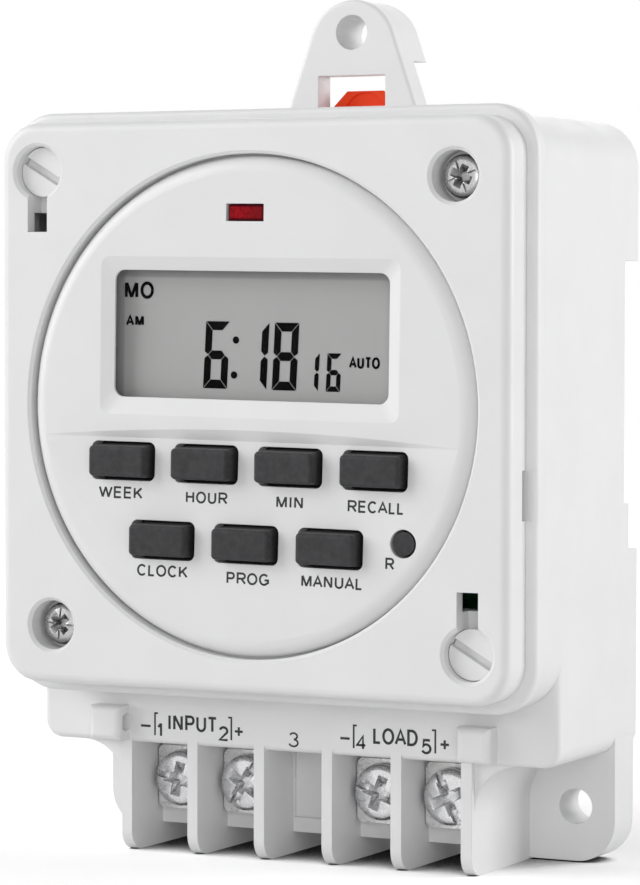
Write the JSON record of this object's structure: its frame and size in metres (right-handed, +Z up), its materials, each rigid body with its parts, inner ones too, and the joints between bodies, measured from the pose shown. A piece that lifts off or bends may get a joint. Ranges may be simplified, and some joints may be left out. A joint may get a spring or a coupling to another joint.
{
  "type": "timer switch",
  "caption": "Weekly electronic timer switch in a square white case, with a round face, display, keys, screw terminals, screw ears and a sprung rail clip.",
  "frame": {"origin": "on the rear mounting plane, at the middle of the width and at the centre line of the rail channel, which is also the middle of the square rim", "axes": "+Z up, from the terminal block to the upper ear; +Y to the back, into the wall; +X to the right as seen from the front"},
  "size_m": [0.072, 0.0376, 0.1075],
  "materials": {
    "white_plastic": "satin white moulded plastic",
    "black_rubber": "matt charcoal silicone rubber",
    "clear_plastic": "clear polished plastic",
    "lcd_glass": "grey-green display glass",
    "red_plastic": "dark red transparent plastic",
    "orange_plastic": "orange-red moulded plastic",
    "green_board": "green lacquered circuit board",
    "black_plastic": "black moulded plastic",
    "blue_plastic": "blue coated",
    "yellow_plastic": "yellow film case",
    "pink_rubber": "layered conductive rubber",
    "plated_steel": "bright nickel plated",
    "spring_steel": "drawn spring wire",
    "brass_plate": "tinned brass strip",
    "can_steel": "bright steel can"
  },
  "bodies": {
    "housing": {"rear_base": "white_plastic", "front_cover": "white_plastic", "face_disc": "white_plastic", "lcd_window": "clear_plastic", "lcd_panel": "lcd_glass", "lcd_contact_strips": "pink_rubber", "led_window": "red_plastic", "status_led": "red_plastic", "display_board": "green_board", "controller_chip": "black_plastic", "quartz_crystal": "can_steel", "backup_cell": "can_steel", "keypad_mat": "black_rubber", "module_back": "white_plastic", "module_screws": "plated_steel", "cover_screws": "plated_steel", "power_board": "green_board", "board_screws": "plated_steel", "relay": "blue_plastic", "mains_capacitor": "yellow_plastic", "smoothing_capacitor": "black_plastic", "varistor": "blue_plastic", "bridge_rectifier": "black_plastic", "board_link": "black_plastic", "terminal_plate_1": "brass_plate", "terminal_plate_2": "brass_plate", "terminal_plate_4": "brass_plate", "terminal_plate_5": "brass_plate", "rail_clip_spring": "spring_steel"},
    "key_week": {"key_week": "black_rubber"},
    "key_hour": {"key_hour": "black_rubber"},
    "key_min": {"key_min": "black_rubber"},
    "key_recall": {"key_recall": "black_rubber"},
    "key_clock": {"key_clock": "black_rubber"},
    "key_prog": {"key_prog": "black_rubber"},
    "key_manual": {"key_manual": "black_rubber"},
    "reset_key": {"reset_key": "black_rubber"},
    "latch_upper": {"latch_post_upper": "white_plastic"},
    "latch_lower": {"latch_post_lower": "white_plastic"},
    "clamp_1": {"clamp_washer_1": "plated_steel"},
    "screw_1": {"terminal_screw_1": "plated_steel"},
    "clamp_2": {"clamp_washer_2": "plated_steel"},
    "screw_2": {"terminal_screw_2": "plated_steel"},
    "clamp_4": {"clamp_washer_4": "plated_steel"},
    "screw_4": {"terminal_screw_4": "plated_steel"},
    "clamp_5": {"clamp_washer_5": "plated_steel"},
    "screw_5": {"terminal_screw_5": "plated_steel"},
    "rail_clip": {"rail_clip": "orange_plastic"}
  },
  "joints": [
    {"name": "key_week_press", "type": "slide", "parent": "housing", "child": "key_week", "axis": [0, 1, 0], "range_m": [0, 0.001], "stiffness_N_per_m": 400, "springref_m": -0.001},
    {"name": "key_hour_press", "type": "slide", "parent": "housing", "child": "key_hour", "axis": [0, 1, 0], "range_m": [0, 0.001], "stiffness_N_per_m": 400, "springref_m": -0.001},
    {"name": "key_min_press", "type": "slide", "parent": "housing", "child": "key_min", "axis": [0, 1, 0], "range_m": [0, 0.001], "stiffness_N_per_m": 400, "springref_m": -0.001},
    {"name": "key_recall_press", "type": "slide", "parent": "housing", "child": "key_recall", "axis": [0, 1, 0], "range_m": [0, 0.001], "stiffness_N_per_m": 400, "springref_m": -0.001},
    {"name": "key_clock_press", "type": "slide", "parent": "housing", "child": "key_clock", "axis": [0, 1, 0], "range_m": [0, 0.001], "stiffness_N_per_m": 400, "springref_m": -0.001},
    {"name": "key_prog_press", "type": "slide", "parent": "housing", "child": "key_prog", "axis": [0, 1, 0], "range_m": [0, 0.001], "stiffness_N_per_m": 400, "springref_m": -0.001},
    {"name": "key_manual_press", "type": "slide", "parent": "housing", "child": "key_manual", "axis": [0, 1, 0], "range_m": [0, 0.001], "stiffness_N_per_m": 400, "springref_m": -0.001},
    {"name": "reset_key_press", "type": "slide", "parent": "housing", "child": "reset_key", "axis": [0, 1, 0], "range_m": [0, 0.0006], "stiffness_N_per_m": 300, "springref_m": -0.001},
    {"name": "latch_upper_turn", "type": "hinge", "parent": "housing", "child": "latch_upper", "pos_m": [-0.0293, -0.032, 0.0286], "axis": [0, 1, 0], "range_deg": [0, 90]},
    {"name": "latch_lower_turn", "type": "hinge", "parent": "housing", "child": "latch_lower", "pos_m": [0.0293, -0.032, -0.0286], "axis": [0, 1, 0], "range_deg": [0, 90]},
    {"name": "clamp_1_lift", "type": "slide", "parent": "housing", "child": "clamp_1", "axis": [0, -1, 0], "range_m": [0, 0.003]},
    {"name": "screw_1_turn", "type": "hinge", "parent": "clamp_1", "child": "screw_1", "pos_m": [-0.0189, -0.016, -0.048], "axis": [0, -1, 0], "range_deg": [0, 1800]},
    {"name": "clamp_2_lift", "type": "slide", "parent": "housing", "child": "clamp_2", "axis": [0, -1, 0], "range_m": [0, 0.003]},
    {"name": "screw_2_turn", "type": "hinge", "parent": "clamp_2", "child": "screw_2", "pos_m": [-0.00945, -0.016, -0.048], "axis": [0, -1, 0], "range_deg": [0, 1800]},
    {"name": "clamp_4_lift", "type": "slide", "parent": "housing", "child": "clamp_4", "axis": [0, -1, 0], "range_m": [0, 0.003]},
    {"name": "screw_4_turn", "type": "hinge", "parent": "clamp_4", "child": "screw_4", "pos_m": [0.00945, -0.016, -0.048], "axis": [0, -1, 0], "range_deg": [0, 1800]},
    {"name": "clamp_5_lift", "type": "slide", "parent": "housing", "child": "clamp_5", "axis": [0, -1, 0], "range_m": [0, 0.003]},
    {"name": "screw_5_turn", "type": "hinge", "parent": "clamp_5", "child": "screw_5", "pos_m": [0.0189, -0.016, -0.048], "axis": [0, -1, 0], "range_deg": [0, 1800]},
    {"name": "rail_clip_slide", "type": "slide", "parent": "housing", "child": "rail_clip", "axis": [0, 0, 1], "range_m": [0, 0.003], "stiffness_N_per_m": 2000, "springref_m": -0.003, "deforming": ["rail_clip_spring"]}
  ],
  "couplings": [
    {"joint": "screw_1_turn", "follows": "clamp_1_lift", "rad_per_m": 10472},
    {"joint": "screw_2_turn", "follows": "clamp_2_lift", "rad_per_m": 10472},
    {"joint": "screw_4_turn", "follows": "clamp_4_lift", "rad_per_m": 10472},
    {"joint": "screw_5_turn", "follows": "clamp_5_lift", "rad_per_m": 10472}
  ]
}
